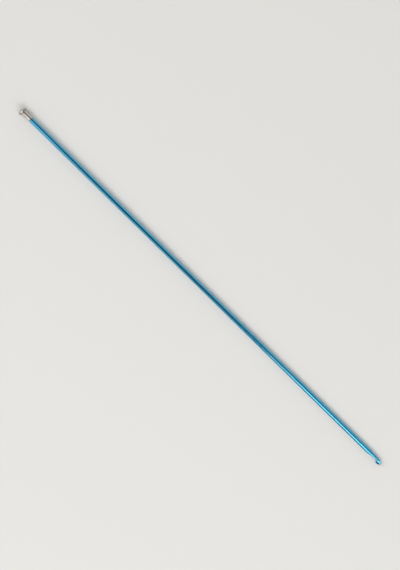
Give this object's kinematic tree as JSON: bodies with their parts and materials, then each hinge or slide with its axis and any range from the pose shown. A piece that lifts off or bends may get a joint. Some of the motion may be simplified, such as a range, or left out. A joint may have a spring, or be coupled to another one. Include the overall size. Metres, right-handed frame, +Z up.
{
  "type": "tunisian crochet hook",
  "caption": "Long slim straight crochet hook with a tapered throat and a rounded hooked head at one end, and a domed metal stopper that keeps loops on the rod at the other.",
  "frame": {"origin": "under the middle of the tool's length, on the rod's centre plane, at the level of the lowest point of the stopper's rim", "axes": "+X along the rod from the stopper to the hook's tip, +Z up, and the notch of the hook opens towards -Y"},
  "size_m": [0.356, 0.0074, 0.0074],
  "materials": {
    "anodised_blue": "satin blue anodised, finely drawn along its length",
    "nickel_sleeve": "bright nickel plate on drawn sheet",
    "nickel_button": "bright nickel plate on pressed sheet"
  },
  "bodies": {
    "root": {"hook_shaft": "anodised_blue", "hook_tip": "anodised_blue", "stopper_sleeve": "nickel_sleeve", "stopper_button": "nickel_button"}
  },
  "joints": []
}
